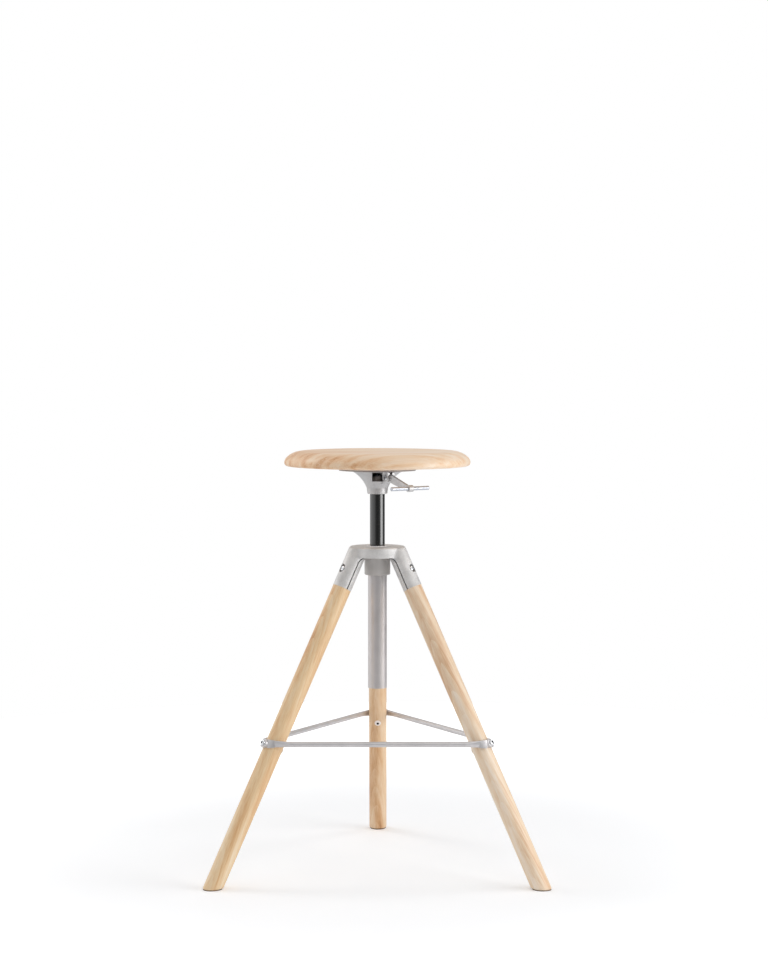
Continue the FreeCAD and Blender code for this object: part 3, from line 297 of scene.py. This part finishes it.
# The sockets' lower ends, below the legs' common apex: the spigots start here, and from here up the wood is
# painted dark, as painted shade in the clamps' split lines.
SOCKET_END = 170.2 * MM
ash = {}
for side, turn in LEG_TURNS.items():
    own_turn = leg_turn(side)
    toward = Matrix.Rotation(math.radians(HEART_SIDES[side] - turn), 3, "Z") @ Vector((1, 0, 0))
    heart = LEG_APEX + own_turn @ (HEART_REACH * toward - HEART_DOWN * UP)
    up_leg = own_turn @ UP
    leaning = own_turn @ Matrix.Rotation(GRAIN_LEAN, 3, toward.cross(UP))
    ash[side] = lacquered_wood("lacquered_ash_" + side, heart, tuple(leaning.to_euler()), LEG_TONES[side],
                               ring_mm=4, patch_mm=40, wander=4, contrast=RING_CONTRAST[side],
                               shaded_end=(tuple(up_leg), up_leg.dot(LEG_APEX) - SOCKET_END))

# Aluminium, cast, bead blasted and clear coated: pale grey, dull, over a fine pitted skin.
cast = grained_surface("blasted_aluminium", "E8E7E6", "C2C1C0", 2.2, (0.45, 0.56), 0.35, Metallic=0.3)
# Aluminium, cast and tumbled: satin grey, with soft streaks from the tumbling.
tumbled = grained_surface("tumbled_aluminium", "D7D6D6", "B5B4B5", 2.0, (0.34, 0.44), 0.12, (1, 1, 0.12),
                          Metallic=0.5)
# Steel with a satin grey powder coat: a mid grey with a faint orange-peel skin.
coat = grained_surface("grey_powder_coat", "D3CFCF", "C6C2C2", 1.5, (0.38, 0.46), 0.12, Metallic=0.6)
# The same coat on the collar, duller.
collar_coat = grained_surface("dull_powder_coat", "CBC7C4", "BDB9B6", 1.5, (0.5, 0.6), 0.2, Metallic=0.15)
# The same coat on the footrest, a shade lighter and smoother.
rod_coat = grained_surface("pale_powder_coat", "DCD9DA", "CECCCD", 1.5, (0.34, 0.42), 0.12, Metallic=0.5)
# Steel tube, ground and painted gloss black: near black with long clear reflections.
black = grained_surface("gloss_black_paint", "0F0F0F", "0A0A0A", 1.0, (0.12, 0.18), 0.05, (1, 1, 0.1),
                        IOR=1.9)
# Steel plate, painted matt grey: no highlights.
plate = grained_surface("matt_grey_paint", "A69E9B", "948C89", 1.5, (0.45, 0.55), 0.2, Metallic=0.2)
# Ground steel: fine rings round the axis, drawn 0.5 mm wide so that they show.
ground = grained_surface("ground_steel", "B4B5B7", "98999C", 0.5, (0.2, 0.28), 0.1, (0.2, 0.2, 1),
                         Metallic=1.0)
# Steel bar with satin chrome: cool grey.
chrome = grained_surface("satin_chrome", "CACFD8", "B8BDC6", 0.8, (0.24, 0.32), 0.06, Metallic=0.6)
# Valve housing, turned aluminium: pale, with marks along it.
aluminium = grained_surface("turned_aluminium", "F6F2EE", "C8C0BC", 3, (0.4, 0.5), 0.1, (1, 1, 0.1),
                            Metallic=0.1)
# Acetal, moulded: white with a faint sheen.
acetal = grained_surface("moulded_acetal", "F2F2F4", "E2E2E6", 2.0, (0.4, 0.5), 0.1)
# Nylon, moulded: brown and dull.
nylon = grained_surface("moulded_nylon", "6A5A4E", "5A4C42", 1.5, (0.5, 0.6), 0.15)
# Rubber, moulded: black, without shine.
rubber = grained_surface("moulded_rubber", "1C1C1C", "131313", 1.5, (0.6, 0.75), 0.2)
# Steel screws, bright zinc: nearly a mirror.
BRIGHT_ZINC = ("F2F3F5", "DCDEE2", 0.8, (0.1, 0.18), 0.08)
zinc = grained_surface("bright_zinc", *BRIGHT_ZINC, Metallic=1.0)
# The footrest's screws, bright zinc, and opposite them its sleeve nuts, painted ivory, which is pale and
# smooth. Their key sockets are painted black, as painted shade in the recesses. They lie across each leg,
# this far down it from the legs' apex.
FOOT_BOLT_AT = 491.5 * MM
KEY_REACH = 2.6 * MM
KEY_SHADE_TONE = "0A0908"
foot_bolt_axes = []
for side in LEG_TURNS:
    own_turn = leg_turn(side)
    foot_bolt_axes.append((LEG_APEX - FOOT_BOLT_AT * (own_turn @ UP), tuple(own_turn.to_euler())))
keyed_zinc = grained_surface("bright_zinc_with_keys", *BRIGHT_ZINC, Metallic=1.0)
ivory = grained_surface("ivory_paint", "FFF6F0", "F4EAE4", 0.8, (0.3, 0.4), 0.06)
for finish in (keyed_zinc, ivory):
    painted_socket_shade(finish, foot_bolt_axes, KEY_REACH, KEY_SHADE_TONE)

# The pieces that aren't named here are ground steel.
FINISHES = {
    "seat": beech, "seat_plate": plate, "seat_bracket": tumbled, "lever_arm": tumbled, "lever_bar": chrome,
    "lever_pin": zinc, "bracket_screws": zinc, "seat_screws": zinc,
    "gas_cylinder": black, "valve_body": aluminium,
    "piston_seal": rubber, "rod_seal": rubber, "bump_stop": rubber,
    # The hub's washers are real rings, but their black rubber is painted shade for the bolts' recesses.
    "hub_casting": cast, "hub_leg_bolts": zinc, "hub_washers": rubber, "guide_bush": acetal,
    "column_tube": coat, "column_collar": collar_coat,
    "footrest_rod_front": rod_coat, "footrest_rod_left": rod_coat, "footrest_rod_right": rod_coat,
    "footrest_bolts": keyed_zinc, "footrest_sleeve_nuts": ivory,
}
for side in LEG_TURNS:
    FINISHES["leg_" + side] = ash[side]
    FINISHES["leg_clamp_" + side] = cast
    FINISHES["leg_glide_" + side] = nylon
for name, node in nodes.items():
    node.data.materials.clear()
    node.data.materials.append(FINISHES.get(name, ground))

# Floor: a round of plain white. To the viewer it glows a little, more towards its rim, where it is as pale as
# the air behind it, and less to the right, where the key light is near. The stool is lit only by what it
# reflects.
FLOOR_RADIUS = 1.9
FLOOR_SIDES = 96
GLOW = {"From Min": 0.45, "From Max": 1.5, "To Min": 0.15, "To Max": 0.6}
GLOW_SLOPE = -0.09
floor_mesh = bpy.data.meshes.new("floor")
shaper = bmesh.new()
bmesh.ops.create_circle(shaper, cap_ends=True, segments=FLOOR_SIDES, radius=FLOOR_RADIUS)
shaper.to_mesh(floor_mesh)
shaper.free()
floor = bpy.data.objects.new("floor", floor_mesh)
bpy.context.scene.collection.objects.link(floor)
paper, paper_tree, paper_shader = new_material("white_floor", Base_Color=linear("F7F8FA"), Roughness=0.9,
                                               Emission_Color=(1, 1, 1, 1))
spot = add(paper_tree, "ShaderNodeTexCoord").outputs["Object"]
reach = add(paper_tree, "ShaderNodeVectorMath", {"operation": "LENGTH"}, {0: spot})
glow = add(paper_tree, "ShaderNodeMapRange", {"interpolation_type": "SMOOTHSTEP", **GLOW},
           {"Value": reach.outputs["Value"]})
sideways = add(paper_tree, "ShaderNodeSeparateXYZ", links={0: spot})
leant = add(paper_tree, "ShaderNodeMath", {"operation": "MULTIPLY_ADD", 1: GLOW_SLOPE},
            {0: sideways.outputs["X"], 2: glow.outputs[0]})
viewed = add(paper_tree, "ShaderNodeLightPath")
shown = add(paper_tree, "ShaderNodeMath", {"operation": "MULTIPLY"},
            {0: leant.outputs[0], 1: viewed.outputs["Is Camera Ray"]})
connect(paper_tree, paper_shader, {"Emission Strength": shown.outputs[0]})
floor.data.materials.append(paper)

# Studio air by direction, as brightness at azimuths round the column: 0 is the viewer's side, 90 the right.
# It is palest at the left, dark in front and at the right rear, and a mid grey straight behind. So round
# metal has a dark middle, a pale band on its left and a dark line close to each edge.
AIR = (
    (-180, 0.6), (-168, 0.6), (-152, 0.35), (-132, 0.95), (-95, 1.0), (-70, 0.75), (-50, 0.68), (-33, 0.35),
    (-14, 0.12), (16, 0.12), (40, 0.32), (60, 0.4), (100, 0.2), (150, 0.12), (168, 0.6), (180, 0.6),
)
AIR_LEVEL = 1.2
# The air's brightness overhead, and the heights of a direction between which it takes over from the walls'.
CEILING = 0.55
CEILING_SPAN = {"From Min": 0.3, "From Max": 0.9}
world = bpy.data.worlds.new("studio")
bpy.context.scene.world = world
world.use_nodes = True
sky = world.node_tree
sky.nodes.clear()
way = add(sky, "ShaderNodeTexCoord")
split = add(sky, "ShaderNodeSeparateXYZ", links={0: way.outputs["Generated"]})
toward_viewer = add(sky, "ShaderNodeMath", {"operation": "MULTIPLY", 1: -1}, {0: split.outputs["Y"]})
azimuth = add(sky, "ShaderNodeMath", {"operation": "ARCTAN2"},
              {0: split.outputs["X"], 1: toward_viewer.outputs[0]})
turn_share = add(sky, "ShaderNodeMapRange", {"From Min": -math.pi, "From Max": math.pi},
                 {"Value": azimuth.outputs[0]})
walls = add(sky, "ShaderNodeValToRGB", links={"Fac": turn_share.outputs[0]})
set_stops(walls, [((angle + 180) / 360, (level, level, level, 1)) for angle, level in AIR])
height_share = add(sky, "ShaderNodeMapRange", {"interpolation_type": "SMOOTHSTEP", **CEILING_SPAN},
                   {"Value": split.outputs["Z"]})
shell = add(sky, "ShaderNodeMix", {"data_type": "FLOAT", 3: CEILING},
            {0: height_share.outputs[0], 2: walls.outputs[0]})
lit = add(sky, "ShaderNodeMath", {"operation": "MULTIPLY", 1: AIR_LEVEL}, {0: shell.outputs[0]})
# The viewer sees plain white air from every side.
ray = add(sky, "ShaderNodeLightPath")
seen = add(sky, "ShaderNodeMix", {"data_type": "FLOAT", 3: 1.0},
           {0: ray.outputs["Is Camera Ray"], 2: lit.outputs[0]})
air = add(sky, "ShaderNodeBackground", {"Color": (1, 1, 1, 1)}, {"Strength": seen.outputs[0]})
add(sky, "ShaderNodeOutputWorld", links={"Surface": air.outputs[0]})

# The height on the column's axis that the softboxes aim at.
LIT_HEIGHT = 0.45


def softbox(name, azimuth_deg, distance, height, wide, tall, brightness):
    """An area light round the column, aimed at its axis; azimuth 0 is the viewer's side, 90 the right."""
    lamp = bpy.data.lights.new(name, "AREA")
    lamp.shape = "RECTANGLE"
    lamp.size = wide
    lamp.size_y = tall
    lamp.energy = brightness * math.pi * wide * tall
    angle = math.radians(azimuth_deg)
    light = bpy.data.objects.new(name, lamp)
    light.location = (distance * math.sin(angle), COLUMN_Y - distance * math.cos(angle), height)
    toward = Vector((0, COLUMN_Y, LIT_HEIGHT)) - light.location
    light.rotation_euler = toward.to_track_quat("-Z", "Y").to_euler()
    bpy.context.scene.collection.objects.link(light)


softbox("key_right", azimuth_deg=70, distance=2.6, height=0.8, wide=1.9, tall=1.5, brightness=3.8)
softbox("high_left", azimuth_deg=-112, distance=1.9, height=2.3, wide=0.8, tall=0.8, brightness=3.8)
softbox("high_right", azimuth_deg=108, distance=1.9, height=2.3, wide=0.8, tall=0.8, brightness=3.2)
softbox("high_front", azimuth_deg=15, distance=2.4, height=2.4, wide=1.4, tall=0.9, brightness=1.8)

# Camera: the photograph's own height, distance and tilt.
CAMERA_AT = (0.01245, COLUMN_Y - 4.011, 0.952)
TILT_DEG = 3.117
camera_data = bpy.data.cameras.new("camera")
camera_data.sensor_width = 36
camera_data.lens = 79.8
camera_data.clip_end = 200
camera = bpy.data.objects.new("camera", camera_data)
camera.location = CAMERA_AT
camera.rotation_euler = Euler((math.radians(90 - TILT_DEG), 0, 0))
bpy.context.scene.collection.objects.link(camera)
bpy.context.scene.camera = camera
bpy.context.scene.view_settings.view_transform = "Standard"
